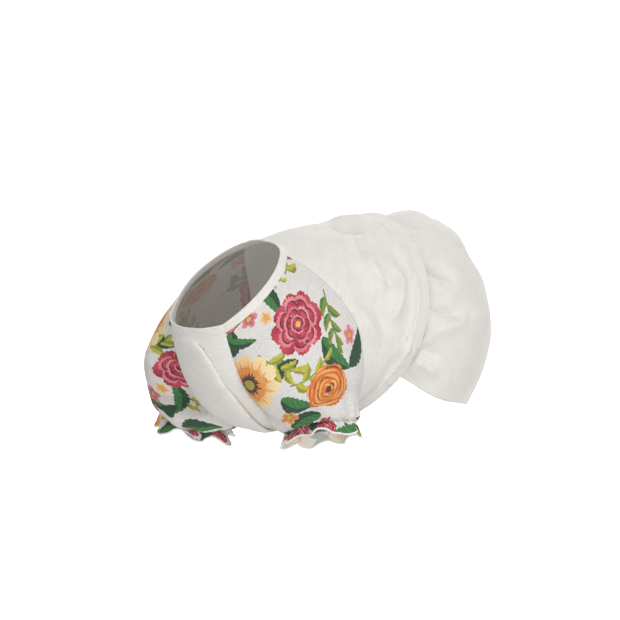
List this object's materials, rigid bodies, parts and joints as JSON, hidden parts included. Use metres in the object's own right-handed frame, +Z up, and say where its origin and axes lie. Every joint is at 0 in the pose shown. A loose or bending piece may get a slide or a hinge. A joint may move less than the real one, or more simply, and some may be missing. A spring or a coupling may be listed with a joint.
{
  "type": "dog shirt",
  "caption": "Worn raglan shirt for a small dog, with puffed foreleg sleeves gathered into frilled cuffs, a narrow bound neck and a gathered skirt over the rump.",
  "frame": {"origin": "middle of the neckline's back side, on the inner face of the back panel's centre line, where the dog's back meets the cloth", "axes": "+Z up, +Y along the dog's back to the tail, +X to the dog's left, so the chest and the neck opening face -Y"},
  "size_m": [0.2285, 0.3704, 0.2428],
  "materials": {
    "white_cotton": "plain-woven cotton, matte, warm white",
    "floral_cotton": "plain-woven cotton, matte, cool white ground with a large flower print",
    "white_binding": "folded cotton binding with one line of stitching"
  },
  "bodies": {
    "root": {"back_panel": "white_cotton", "chest_panel": "white_cotton", "left_sleeve": "floral_cotton", "right_sleeve": "floral_cotton", "neck_band": "white_binding", "skirt": "white_cotton"}
  },
  "joints": []
}
